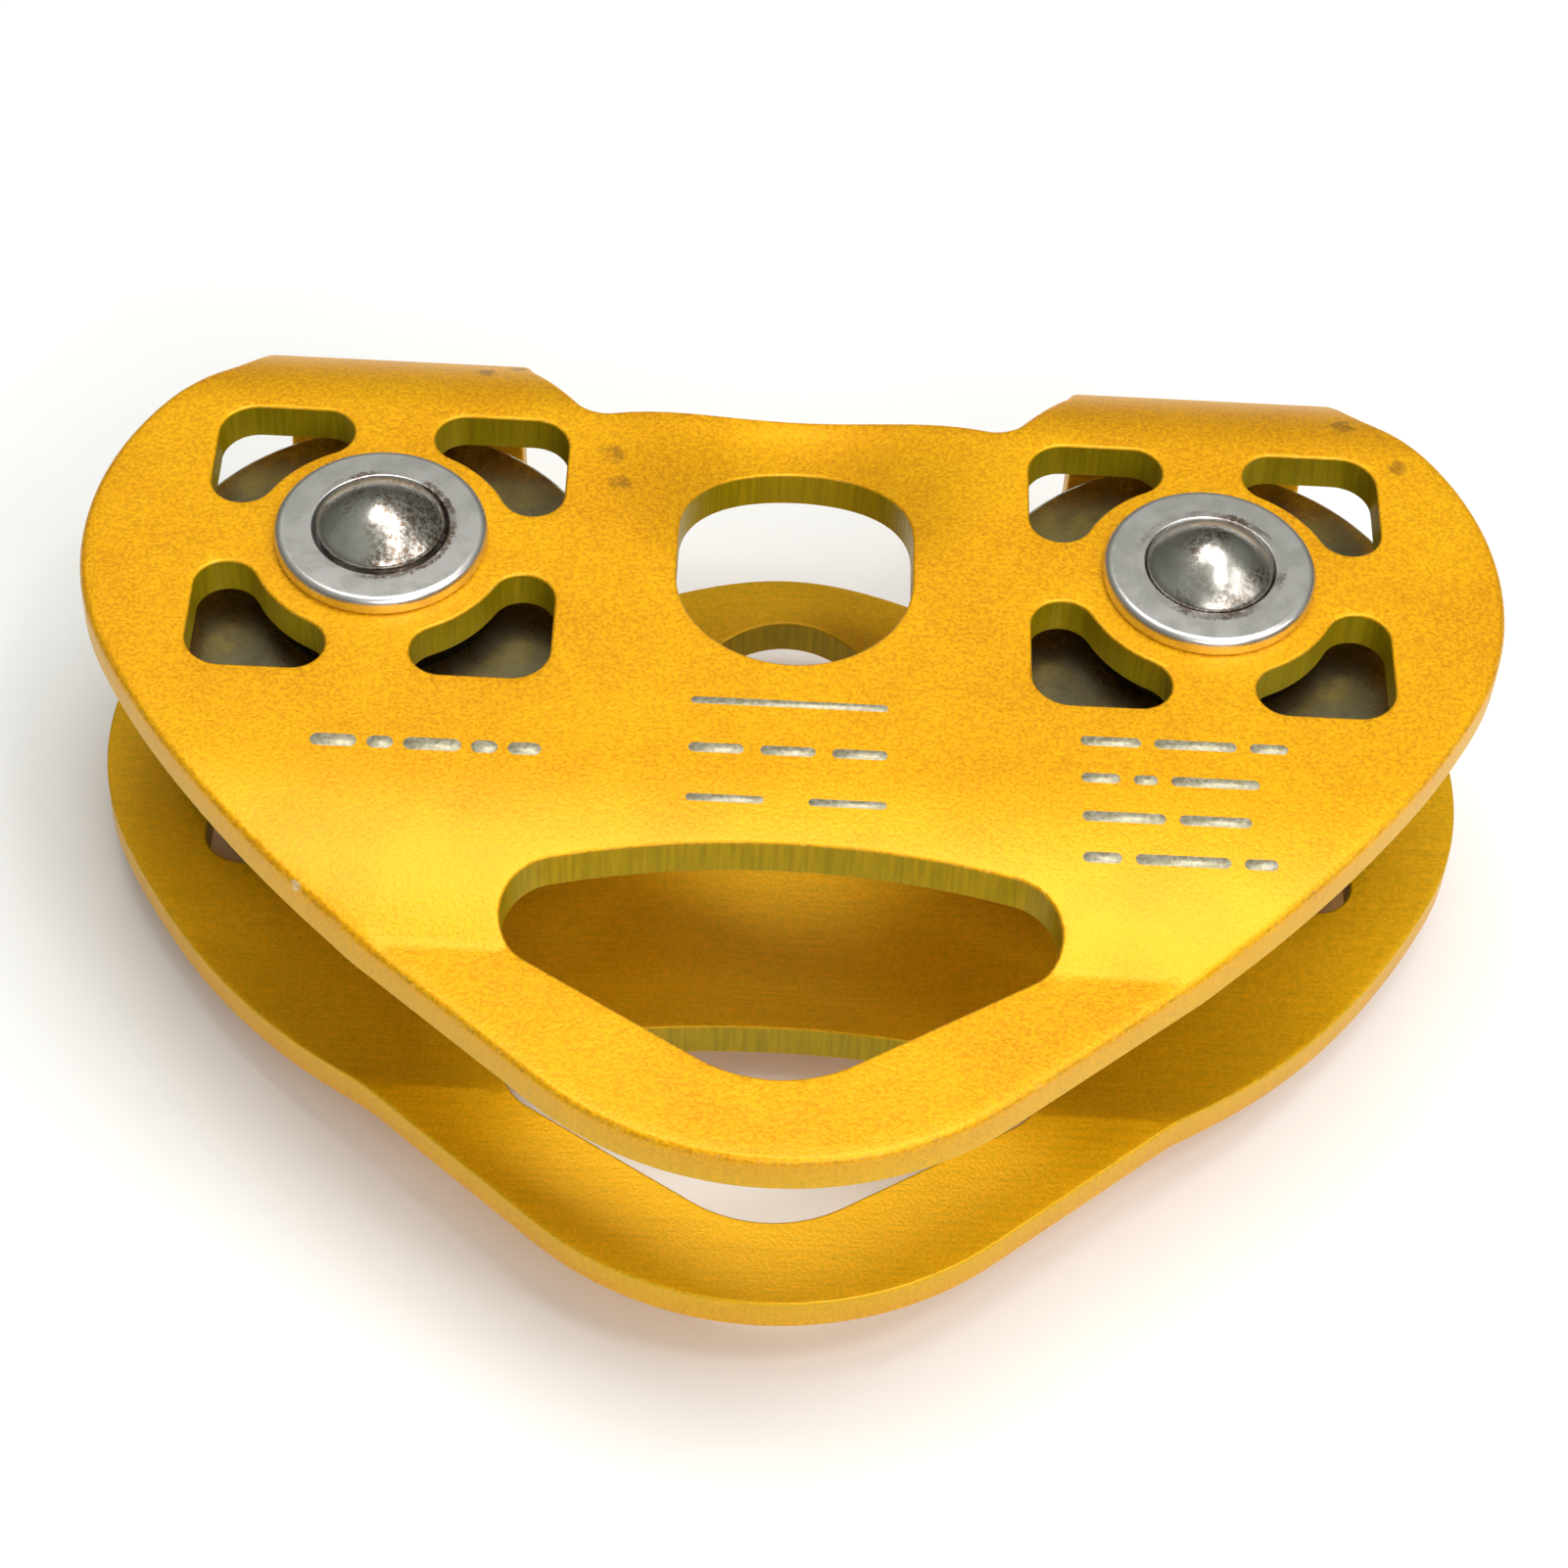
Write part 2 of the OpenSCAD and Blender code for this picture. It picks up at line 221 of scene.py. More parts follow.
class Graph:
    """A node material with its Principled shader, built a node at a time."""

    def __init__(self, name):
        self.material = bpy.data.materials.new(name)
        self.material.use_nodes = True
        self.tree = self.material.node_tree
        self.shader = self.tree.nodes["Principled BSDF"]
        self.coords = self.add("ShaderNodeTexCoord").outputs["Object"]

    def add(self, kind, sockets=None, **settings):
        node = self.tree.nodes.new(kind)
        for key, value in settings.items():
            setattr(node, key, value)
        for key, value in (sockets or {}).items():
            self.put(node.inputs[key], value)
        return node

    def put(self, socket, value):
        if isinstance(value, bpy.types.NodeSocket):
            self.tree.links.new(value, socket)
        else:
            socket.default_value = value

    def set(self, **values):
        """Sets or links sockets of the shader, with spaces in their names written as underscores."""
        for key, value in values.items():
            self.put(self.shader.inputs[key.replace("_", " ")], value)

    def scaled(self, scale, offset=(0, 0, 0)):
        """Coordinates moved by an offset in metres, then stretched by a scale per axis."""
        moved = self.add("ShaderNodeVectorMath", {0: self.coords, 1: offset}, operation="SUBTRACT")
        stretch = self.add("ShaderNodeVectorMath", {0: moved.outputs[0], 1: scale}, operation="MULTIPLY")
        return stretch.outputs[0]

    def noise(self, scale, detail=2.0, roughness=0.5):
        """Noise from 0 to 1, with the scale in cells per millimetre."""
        sockets = {"Vector": self.coords, "Scale": scale / MM, "Detail": detail, "Roughness": roughness}
        return self.add("ShaderNodeTexNoise", sockets).outputs["Fac"]

    def streaks(self, scale, detail=3.0):
        """Noise stretched along the axes, with a scale per axis in cells per millimetre."""
        vector = self.scaled([value / MM for value in scale])
        sockets = {"Vector": vector, "Scale": 1.0, "Detail": detail, "Roughness": 0.6}
        return self.add("ShaderNodeTexNoise", sockets).outputs["Fac"]

    def math(self, operation, a, b=0.0, clamp=False):
        return self.add("ShaderNodeMath", {0: a, 1: b}, operation=operation, use_clamp=clamp).outputs[0]

    def fade(self, value, low, high, out_low=0.0, out_high=1.0):
        """Maps low..high smoothly onto out_low..out_high."""
        sockets = {"Value": value, "From Min": low, "From Max": high, "To Min": out_low, "To Max": out_high}
        return self.add("ShaderNodeMapRange", sockets, interpolation_type="SMOOTHSTEP").outputs["Result"]

    def mix(self, factor, a, b):
        """Mixes two colours."""
        node = self.add("ShaderNodeMix", data_type="RGBA")
        self.put(node.inputs["Factor"], factor)
        self.put(node.inputs[6], a)
        self.put(node.inputs[7], b)
        return node.outputs[2]

    def bump(self, height, distance, strength=1.0, normal=None):
        """A bump whose height spans a distance in millimetres."""
        sockets = {"Height": height, "Distance": distance * MM, "Strength": strength}
        node = self.add("ShaderNodeBump", sockets)
        if normal is not None:
            self.put(node.inputs["Normal"], normal)
        return node.outputs["Normal"]

    def radius(self, x):
        """Distance in millimetres from the axle at x."""
        centre = row_point(x, 0, 0)
        flat = self.scaled((1 / MM, 1 / MM, 0), offset=(centre.x, centre.y, 0))
        return self.add("ShaderNodeVectorMath", {0: flat}, operation="LENGTH").outputs["Value"]

    def spot(self, x, s, size):
        """1 at a place on the front of the sheet, fading to 0 at a distance in millimetres."""
        away = self.scaled((1 / MM,) * 3, offset=row_point(*bent(x, s, 0)))
        length = self.add("ShaderNodeVectorMath", {0: away}, operation="LENGTH").outputs["Value"]
        return self.fade(length, size, 0)


def gold_material():
    """Gold anodised aluminium, by the zones of the mesh: blasted faces, worn corners, and side walls and
    inner faces whose darker olive tones are partly painted shade.
    """
    graph = Graph("gold_anodised")
    zones = graph.add("ShaderNodeVertexColor", layer_name="zones").outputs["Color"]
    parts = graph.add("ShaderNodeSeparateColor", {"Color": zones}).outputs
    edge, wall, inside = parts["Red"], parts["Green"], parts["Blue"]

    grain = graph.noise(2.8, detail=2, roughness=0.6)
    speckle = graph.fade(grain, 0.30, 0.70)
    mottle = graph.fade(graph.noise(0.09, detail=3), 0.3, 0.7)
    tone = graph.math("ADD", graph.math("MULTIPLY", speckle, 0.7), graph.math("MULTIPLY", mottle, 0.3))
    face = graph.mix(tone, (0.72, 0.29, 0.001, 1), (0.98, 0.50, 0.003, 1))

    # Inner faces: rolled streaks and grain of the sheet, with an olive darker tone that is partly painted
    # shade between the plates.
    rolled = graph.fade(graph.streaks((0.15, 4.5, 4.5)), 0.3, 0.7)
    rolled = graph.math("ADD", graph.math("MULTIPLY", rolled, 0.4), graph.math("MULTIPLY", speckle, 0.6))
    inner = graph.mix(rolled, (0.66, 0.37, 0.002, 1), (0.96, 0.50, 0.003, 1))
    # Side walls: sawn streaks and the dye's duller tone, darkened further as painted shade, most in the
    # holes.
    sawn = graph.fade(graph.streaks((2.4, 2.4, 0.12)), 0.25, 0.75)
    wall_tone_with_painted_shade = graph.mix(sawn, (0.34, 0.26, 0.002, 1), (0.52, 0.37, 0.003, 1))

    colour = graph.mix(inside, face, inner)
    colour = graph.mix(wall, colour, wall_tone_with_painted_shade)
    blotch = graph.noise(0.9, detail=5, roughness=0.7)
    stain = 0.0
    for x, s, size in STAINS:
        stain = graph.math("MAXIMUM", graph.spot(x, s, size), stain)
    stain = graph.fade(graph.math("MULTIPLY", stain, blotch), 0.28, 0.50, 0.0, 0.65)
    colour = graph.mix(stain, colour, (0.26, 0.11, 0.012, 1))

    scuffs = graph.noise(1.5, detail=4, roughness=0.75)
    rubbed = graph.fade(graph.math("MULTIPLY", edge, scuffs), 0.44, 0.62, 0.0, 0.6)
    worn = graph.mix(graph.fade(blotch, 0.42, 0.58), (0.30, 0.19, 0.03, 1), (0.95, 0.58, 0.14, 1))
    colour = graph.mix(rubbed, colour, worn)
    chipped = 0.0
    for x, s, size in CHIPS:
        chipped = graph.math("MAXIMUM", graph.spot(x, s, size), chipped)
    chipped = graph.fade(graph.math("MULTIPLY", chipped, scuffs), 0.25, 0.36, 0.0, 0.7)
    colour = graph.mix(chipped, colour, (0.80, 0.66, 0.42, 1))

    rough = graph.fade(grain, 0.3, 0.7, 0.44, 0.58)
    depth = graph.math("SUBTRACT", 1.0, graph.math("MULTIPLY", wall, 0.75))
    blasted = graph.bump(graph.math("MULTIPLY", grain, depth), 0.06, 0.7)
    graph.set(Base_Color=colour, Metallic=0.55, Roughness=rough, Normal=blasted, Specular_IOR_Level=0.1)
    graph.set(Coat_Weight=0.3, Coat_Roughness=0.3, Coat_Normal=blasted)
    return graph.material


def steel_material(name, colour, dark, roughness, x=0.0, turned=0.0, rust=0.0, rust_r=(0, 1)):
    """Steel with fine scratches, tool rings about the axle at x, and rust between two radii."""
    graph = Graph(name)
    radius = graph.radius(x)
    mottle = graph.fade(graph.noise(0.35, detail=5, roughness=0.65), 0.3, 0.7)
    base = graph.mix(mottle, dark, colour)
    fine = graph.noise(3.5, detail=4, roughness=0.7)
    normal = graph.bump(fine, 0.008, 0.5)
    if turned:
        rings_per_mm = 5.0
        across = graph.math("MULTIPLY", radius, rings_per_mm)
        ring_sockets = {"Vector": graph.add("ShaderNodeCombineXYZ", {"X": across}).outputs[0]}
        ring_sockets.update({"Scale": 1.0, "Detail": 3.0})
        rings = graph.add("ShaderNodeTexNoise", ring_sockets).outputs["Fac"]
        normal = graph.bump(rings, 0.012 * turned, 1.0, normal)
        base = graph.mix(graph.fade(rings, 0.35, 0.65, 0, 0.3 * turned), base, dark)
    if rust:
        rising = graph.fade(radius, rust_r[0] - 0.8, rust_r[0])
        near = graph.math("MULTIPLY", rising, graph.fade(radius, rust_r[1], rust_r[1] - 1.2))
        patches = graph.fade(graph.noise(0.16, detail=2), 0.42, 0.62)
        specks = graph.math("MULTIPLY", graph.noise(2.2, detail=6, roughness=0.8), near)
        rusty = graph.fade(specks, 0.56 - 0.12 * rust, 0.70 - 0.12 * rust, 0, 0.85)
        rusty = graph.math("MULTIPLY", rusty, patches)
        base = graph.mix(rusty, base, (0.13, 0.06, 0.02, 1))
    rough = graph.fade(mottle, 0, 1, roughness + 0.06, roughness - 0.04)
    graph.set(Base_Color=base, Metallic=1.0, Roughness=rough, Normal=normal)
    return graph.material


def etched_material():
    """The pale grey of a laser mark in the anodised face."""
    graph = Graph("etched_mark")
    grain = graph.noise(2.2, detail=3, roughness=0.6)
    colour = graph.mix(graph.fade(grain, 0.35, 0.65), (0.50, 0.44, 0.28, 1), (0.72, 0.67, 0.50, 1))
    graph.set(Base_Color=colour, Metallic=0.6, Roughness=graph.fade(grain, 0.3, 0.7, 0.5, 0.65))
    graph.set(Normal=graph.bump(grain, 0.02, 0.5))
    return graph.material


# ---- the folded frame ----


def flat_height(y):
    """Distance along the outer face of the sheet from the axle line, for a point at height y."""
    if y >= -close_start:
        return y
    below = -close_start - y
    turned_y = close_r * math.sin(math.radians(close_angle))
    level_y = turned_y + bend_r * math.sin(math.radians(close_angle))
    if below < turned_y:
        return -close_start - close_r * math.asin(below / close_r)
    turned = close_r * math.radians(close_angle)
    if below < level_y:
        left = math.asin((level_y - below) / bend_r)
        return -close_start - turned - bend_r * (math.radians(close_angle) - left)
    return -close_start - turned - bend_r * math.radians(close_angle) - (below - level_y)


def section(s):
    """Height y, depth z and tilt of the outer face at a distance s along the sheet."""
    if s >= fold_start:
        tilt = (s - fold_start) / outer_half
        return fold_start + outer_half * math.sin(tilt), outer_half * math.cos(tilt), tilt
    if s >= -close_start:
        return s, outer_half, 0.0
    full = math.radians(close_angle)
    along = -close_start - s
    tilt = along / close_r
    if tilt <= full:
        return -close_start - close_r * math.sin(tilt), outer_half - close_r * (1 - math.cos(tilt)), -tilt
    y = -close_start - (close_r + bend_r) * math.sin(full)
    left = full - (along - close_r * full) / bend_r
    if left >= 0:
        return y + bend_r * math.sin(left), outer_half - close_depth + bend_r * (1 - math.cos(left)), -left
    return y + bend_r * left, outer_half - close_depth, 0.0


def bent(x, s, depth):
    """Where a point of the flat sheet ends up: x across, s along and depth below the outer face."""
    y, z, tilt = section(s)
    if s > fold_start:
        y -= depth * math.sin(tilt)
        z -= depth * math.cos(tilt)
    else:
        z -= depth / math.cos(tilt)
    away = math.hypot(x, y - dish_y)
    if away < dish_r:
        drop = dish_depth * (1 + math.cos(math.pi * away / dish_r)) / 2
        folded_drop = max(0.0, outer_half * (1 - math.cos(tilt))) if s > fold_start else 0.0
        z -= (drop ** 4 + folded_drop ** 4) ** 0.25 - folded_drop
    return x, y, z


mid_s = fold_start + outer_half * math.pi / 2


def cheek_outline():
    """The front half of the flat sheet, from the tip round both lobes, with open strap ends at mid_s."""
    tip = np.array([0, tip_r - tip_depth])
    edge_normal = polar(1, edge_angle - 90)
    lobe_normal = polar(1, lobe_low)
    turn = lobe_normal @ edge_normal
    flank_r = (tip_r - (lobe - tip) @ edge_normal - lobe_r * turn) / (1 - turn)
    flank = lobe + (lobe_r - flank_r) * lobe_normal
    shoulder = lobe + polar(lobe_r + shoulder_r, lobe_high)
    lower = (
        arc(tip, tip_r, -90, edge_angle - 90, 2)
        + arc(flank, flank_r, edge_angle - 90, lobe_low, 1)
        + arc(lobe, lobe_r, lobe_low, lobe_high, 2)
        + arc(shoulder, shoulder_r, lobe_high + 180, strap_taper + 180)
    )
    strap_outer_r = (mid_s - lower[-1][1]) / math.sin(math.radians(strap_taper))
    strap_outer = lower[-1] + polar(strap_outer_r, strap_taper)
    neck_point = neck + polar(neck_r, neck_end)
    strap_inner_r = (mid_s - neck_point[1]) / math.sin(math.radians(-neck_end))
    strap_inner = neck_point - polar(strap_inner_r, neck_end)
    bridge = np.array([0, bridge_top - bridge_r])
    fillet_y = bridge[1] + math.sqrt((bridge_r + fillet_r) ** 2 - fillet_x ** 2)
    fillet = np.array([fillet_x, fillet_y])
    fillet_angle = math.degrees(math.atan2(fillet_y - bridge[1], fillet_x))
    half = (
        [np.array([p[0], flat_height(p[1])]) for p in lower]
        + arc(strap_outer, strap_outer_r, strap_taper + 180, 180, 2)
        + arc(strap_inner, strap_inner_r, 0, neck_end, 2)
        + arc(neck, neck_r, neck_end, neck_angle)
        + arc(fillet, fillet_r, neck_angle, fillet_angle - 180)
        + arc(bridge, bridge_r, fillet_angle, 90, 2)
    )
    return half + mirrored(half)


def upper_eye():
    low = [0, eye_bottom + eye_half]
    high = [0, eye_top - eye_half]
    return arc(low, eye_half, 180, 360, 5) + arc(high, eye_half, 0, 180, 5)


def carabiner_eye():
    top = np.array([0, carabiner_top - carabiner_top_r])
    corner_y = top[1] + math.sqrt((carabiner_top_r - corner_r) ** 2 - corner_x ** 2)
    corner_end = math.degrees(math.acos(corner_x / (carabiner_top_r - corner_r)))
    bottom = np.array([0, carabiner_bottom + carabiner_bottom_r])
    rise = corner_y - bottom[1]
    side = math.degrees(
        math.asin((carabiner_bottom_r - corner_r) / math.hypot(corner_x, rise)) + math.atan2(rise, corner_x)
    )
    half = (
        arc(bottom, carabiner_bottom_r, -90, side - 90)
        + arc([corner_x, corner_y], corner_r, side - 90, corner_end)
        + arc(top, carabiner_top_r, corner_end, 90, 2)
    )
    closed = dense(half + mirrored(half))
    return [np.array([p[0], flat_height(p[1])]) for p in closed]


def window(across, up):
    """A bean-shaped window beside an axle, mirrored into one of its four quarters."""
    other_end = window_end[::-1]
    corner = [window_corner, window_corner]
    towards = math.degrees(math.atan2(window_end[1], window_end[0]))
    inner_r = np.linalg.norm(window_end) - window_end_r
    points = (
        arc(window_end, window_end_r, towards + 180, 90, 10)
        + arc(corner, window_corner_r, 90, 0, 8)
        + arc(other_end, window_end_r, 0, 90 - towards - 180, 10)
        + arc([0, 0], inner_r, 90 - towards, towards, 5)
    )
    return [p * [across, up] for p in points]


def turned_to(points, clockwise):
    """The same closed outline, running the way asked for."""
    x, y = np.array(points).T
    area = np.sum(x * np.roll(y, -1) - y * np.roll(x, -1))
    return points[::-1] if (area < 0) != clockwise else points


def frame_outlines():
    """The outer outline, counterclockwise, then every hole, clockwise."""
    holes = [upper_eye(), carabiner_eye()]
    for centre_x in (-axle_x, axle_x):
        centre = np.array([centre_x, 0])
        holes.append([centre + p for p in arc([0, 0], bore_r, 0, 360, 8)])
        for across in (-1, 1):
            for up in (-1, 1):
                holes.append([centre + p for p in window(across, up)])
    outer = [turned_to(dense(cheek_outline()), clockwise=False)]
    return outer + [turned_to(dense(hole), clockwise=True) for hole in holes]


def on_seam(point):
    return abs(point[1] - mid_s) < 1e-6


def inward(points):
    """Unit vectors into the metal at each point of an outline; the metal lies on the outline's left."""
    directions = []
    count = len(points)
    for i, point in enumerate(points):
        before, after = points[i - 1], points[(i + 1) % count]
        if on_seam(point):
            if on_seam(before) and on_seam(after):
                directions.append(np.zeros(2))
            else:
                directions.append(np.array([1.0 if on_seam(after) == (after[0] > point[0]) else -1.0, 0.0]))
            continue
        along = (after - before) / np.linalg.norm(after - before)
        directions.append(np.array([-along[1], along[0]]))
    return directions


def is_inside(points, outlines):
    """For each point, whether an odd number of outlines lies round it."""
    x, y = points.T
    odd = np.zeros(len(points), bool)
    for outline in outlines:
        a = np.array(outline)
        b = np.roll(a, -1, axis=0)
        for (ax, ay), (bx, by) in zip(a, b):
            if ay == by:
                continue
            crosses = ((ay > y) != (by > y)) & (x < (bx - ax) * (y - ay) / (by - ay) + ax)
            odd ^= crosses
    return odd


def grid_rows():
    """Heights for the rows of points inside the sheet, which follow its bends."""
    full = math.radians(close_angle)
    convex_end = -close_start - close_r * full
    bend_end = convex_end - bend_r * full
    stops = [flat_height(-tip_depth), bend_end, convex_end, -close_start, fold_start, mid_s]
    steps = [mesh_step, 0.35, mesh_step, mesh_step, 1.0]
    rows = []
    for low, high, step in zip(stops, stops[1:], steps):
        count = max(1, math.ceil((high - low) / step))
        rows += [low + (high - low) * i / count for i in range(count)]
    return rows


def face_mesh(outlines):
    """Triangles of the flat face inside the outlines, with an even grid of points between them."""
    border = [p for outline in outlines for p in outline]
    tree = kdtree.KDTree(len(border))
    for i, p in enumerate(border):
        tree.insert((p[0], p[1], 0), i)
    tree.balance()
    columns = np.arange(-axle_x - lobe_r, axle_x + lobe_r, mesh_step)
    grid = np.array([[x, s] for s in grid_rows() for x in columns])
    grid = grid[is_inside(grid, outlines)]
    grid = [p for p in grid if tree.find((p[0], p[1], 0))[2] > 0.6 * mesh_step]
    edges = []
    start = 0
    for outline in outlines:
        count = len(outline)
        edges += [(start + i, start + (i + 1) % count) for i in range(count)]
        start += count
    points = [Vector((p[0], p[1])) for p in border + grid]
    result = geometry.delaunay_2d_cdt(points, edges, [], 0, 1e-6)
    flat = np.array([[v.x, v.y] for v in result[0]])
    centres = np.array([flat[list(face)].mean(axis=0) for face in result[2]])
    kept = is_inside(centres, outlines)
    faces = [list(face) for face, inside in zip(result[2], kept) if inside]
    if len(flat) != len(points):
        raise ValueError("the outlines of the frame touch or cross")
    return flat, faces


def edge_rings(bevel):
    """How far in and how deep each ring of points lies, from the outer face round both rounded edges."""
    rings = []
    for angle in (30, 60, 90):
        across, along = polar(1, angle)
        rings.append((bevel * (1 - along), bevel * (1 - across)))
    for angle in (0, 30, 60, 90):
        across, along = polar(1, angle)
        rings.append((inner_bevel * (1 - across), sheet - inner_bevel * (1 - along)))
    return rings


def frame_plate(material):
    """The whole folded sheet, with rounded edges round its outline and every hole.

    Each point holds its zones as a colour: red where edges wear, green on the side walls, whose darker
    colour is partly painted shade, blue inside, where the olive tone is partly painted shade.
    """
    outlines = frame_outlines()
    normals = [inward(outline) for outline in outlines]
    bevels = [rim_bevel] + [hole_bevel] * (len(outlines) - 1)
    # The walls' darker colour with its painted shade goes fully on the hole walls and a quarter on the
    # outer rim, where less shade falls.
    wall_shade_share = [0.25] + [1.0] * (len(outlines) - 1)
    # Wear, and the share of the darker wall colour with its painted shade, of the rings of points, from the
    # outer face to the inner face
    wear = (0.3, 0.8, 1.0, 0.4, 0.0, 0.5, 1.0, 0.5, 0.0)
    wall = (0.0, 0.0, 0.3, 1.0, 1.0, 0.7, 0.3, 0.0, 0.0)
    inset = [[p + r * n for p, n in zip(o, d)] for o, d, r in zip(outlines, normals, bevels)]
    flat, triangles = face_mesh(inset)

    vertices, zones, seam = [], [], []

    def add(x, s, depth, zone):
        vertices.append(bent(x, s, depth))
        zones.append(zone)
        seam.append(abs(s - mid_s) < 1e-6)
        return len(vertices) - 1

    faces = []
    border_count = sum(len(outline) for outline in outlines)
    layers = []
    for depth, inside, edge in ((0.0, 0.0, wear[0]), (sheet, 1.0, wear[-1])):
        layer = []
        for i, (x, s) in enumerate(flat):
            layer.append(add(x, s, depth, (edge if i < border_count else 0.0, 0, inside)))
        layers.append(layer)
    for a, b, c in triangles:
        faces.append((layers[0][a], layers[0][b], layers[0][c]))
        faces.append((layers[1][c], layers[1][b], layers[1][a]))
    start = 0
    for outline, directions, bevel, wall_shade in zip(outlines, normals, bevels, wall_shade_share):
        count = len(outline)
        loops = [layers[0][start:start + count]]
        for k, (inset_by, depth) in enumerate(edge_rings(bevel)):
            inside = 1.0 if depth > sheet / 2 else 0.0
            zone = (wear[k + 1], wall_shade * wall[k + 1], inside)
            loops.append([add(*(p + inset_by * n), depth, zone) for p, n in zip(outline, directions)])
        loops.append(layers[1][start:start + count])
        for upper, lower in zip(loops, loops[1:]):
            for i in range(count):
                j = (i + 1) % count
                if not (on_seam(outline[i]) and on_seam(outline[j])):
                    faces.append((upper[i], lower[i], lower[j], upper[j]))
        start += count

    total = len(vertices)
    twin = {}
    for i in range(total):
        if seam[i]:
            twin[i] = i
        else:
            twin[i] = len(vertices)
            x, y, z = vertices[i]
            vertices.append((x, y, -z))
            zones.append(zones[i])
    faces += [tuple(twin[i] for i in reversed(face)) for face in faces]

    plate = new_object("folded_frame", vertices, faces, material, "frame")
    layer = plate.data.color_attributes.new("zones", "FLOAT_COLOR", "POINT")
    layer.data.foreach_set("color", [c for zone in zones for c in (*zone, 1.0)])
    sharpen(plate)
    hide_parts("frame")
    return plate


# ---- turned pieces ----


def rounded(corners, steps=4):
    """A closed outline from corners (r, z, fillet radius), with an arc at each filleted corner."""
    points = []
    count = len(corners)
    for i, (r, z, fillet) in enumerate(corners):
        here = np.array([r, z], float)
        if fillet == 0:
            points.append(here)
            continue
        back = np.array(corners[i - 1][:2], float) - here
        on = np.array(corners[(i + 1) % count][:2], float) - here
        back /= np.linalg.norm(back)
        on /= np.linalg.norm(on)
        half = math.acos(max(-1.0, min(1.0, back @ on))) / 2
        reach = fillet / math.tan(half)
        middle = here + (back + on) / np.linalg.norm(back + on) * fillet / math.sin(half)
        a, b = here + back * reach - middle, here + on * reach - middle
        sweep = math.pi - 2 * half
        for k in range(steps + 1):
            t = k / steps
            w = (math.sin((1 - t) * sweep) * a + math.sin(t * sweep) * b) / math.sin(sweep)
            points.append(middle + w)
    return points


def turned(name, outline, x, material, body, slot, face="front", steps=128):
    """Revolves a closed (r, z) outline about the axle at x. Points at r = 0 stay single."""
    vertices, rows = [], []
    flip = 1 if face == "front" else -1
    for r, z in outline:
        if r < 1e-6:
            vertices.append((x, 0, flip * z))
            rows.append([len(vertices) - 1] * steps)
            continue
        row = []
        for k in range(steps):
            angle = 2 * math.pi * k / steps
            vertices.append((x + r * math.cos(angle), r * math.sin(angle), flip * z))
            row.append(len(vertices) - 1)
        rows.append(row)
    faces = []
    for a, b in zip(rows, rows[1:] + rows[:1]):
        for k in range(steps):
            j = (k + 1) % steps
            corners = list(dict.fromkeys((a[k], a[j], b[j], b[k])))
            if len(corners) > 2:
                faces.append(tuple(corners if flip > 0 else reversed(corners)))
    piece = new_object(name, vertices, faces, material, body)
    sharpen(piece)
    return piece


def sheave_outline():
    """Section of a grooved wheel: a round groove that flares out to thin rims, and flat faces."""
    rim_x = flange_r - 0.4
    chamfer = 0.3
    ring_seat_r = bearing_r + 0.6
    shoulder_bore_r = 9.5
    centre = groove_root_r + groove_r
    groove_end = polar(groove_r, groove_angle)
    flare = (flange_r - (centre - groove_end[0])) / math.tan(math.radians(groove_angle))
    groove = [
        np.array([centre - p[0], p[1]]) for p in arc([0, 0], groove_r, -groove_angle, groove_angle, 5)
    ]
    bearing_z = spacer_bottom
    ring_z = bearing_z + 1.1
    side = [
        (flange_r, groove_end[1] + flare, 0), (flange_r, sheave_half - chamfer, 0.2),
        (rim_x, sheave_half, 0.15), (bearing_r + chamfer, sheave_half, 0.1),
        (bearing_r, sheave_half - chamfer, 0.1), (bearing_r, ring_z, 0), (ring_seat_r, ring_z, 0),
        (ring_seat_r, bearing_z, 0), (bearing_r, bearing_z, 0), (bearing_r, bearing_z - bearing_w, 0),
        (shoulder_bore_r, bearing_z - bearing_w, 0.3),
    ]
    corners = side + [(r, -z, fillet) for r, z, fillet in reversed(side)]
    return rounded(corners) + groove


def washer_outline(hole_r):
    """Section of a washer with a rounded outer edge and a hollow round the rivet head."""
    bottom = outer_half
    hollow = washer_top - 0.9
    inner_r = bore_r + bore_gap
    return rounded([
        (washer_r, bottom, 0.25), (washer_r, washer_top, 0.75), (hole_r, washer_top, 0.2),
        (hole_r - 0.35, hollow, 0.15), (inner_r, hollow, 0), (inner_r, bottom, 0),
    ])


def rivet_outline(edge_z):
    """Half section of a rivet: shank and a low, slightly peaked head above edge_z, with a rounded rim."""
    rim = 0.75
    dome = head_top - edge_z - rim
    peak = 1.75
    head = []
    steps = 14
    for k in range(steps + 1):
        share = 1 - k / steps
        head.append(np.array([(head_r - 0.12) * share, edge_z + rim + dome * (1 - share ** peak)]))
    rim_arc = [
        np.array([bore_r, edge_z]),
        np.array([head_r - 0.25, edge_z]),
        np.array([head_r - 0.05, edge_z + 0.15]),
        np.array([head_r, edge_z + 0.35]),
        np.array([head_r - 0.02, edge_z + 0.55]),
    ]
    return [np.array([bore_r, 0.0])] + rim_arc + head


def rivet(name, x, edge_z, material):
    """One axle with both heads: the front half's section, mirrored onto the rear."""
    front = rivet_outline(edge_z)
    rear = [np.array([p[0], -p[1]]) for p in reversed(front[1:])]
    piece = turned(name, rear + front, x, material, "frame", "rivet_steel")
    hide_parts(name.replace("_rivet", "_axle"))
    return piece


def spacer_outline():
    return rounded([
        (spacer_r, spacer_bottom, 0.2), (spacer_r, spacer_top, 0.2),
        (bore_r + bore_gap, spacer_top, 0.1), (bore_r + bore_gap, spacer_bottom, 0.1),
    ])


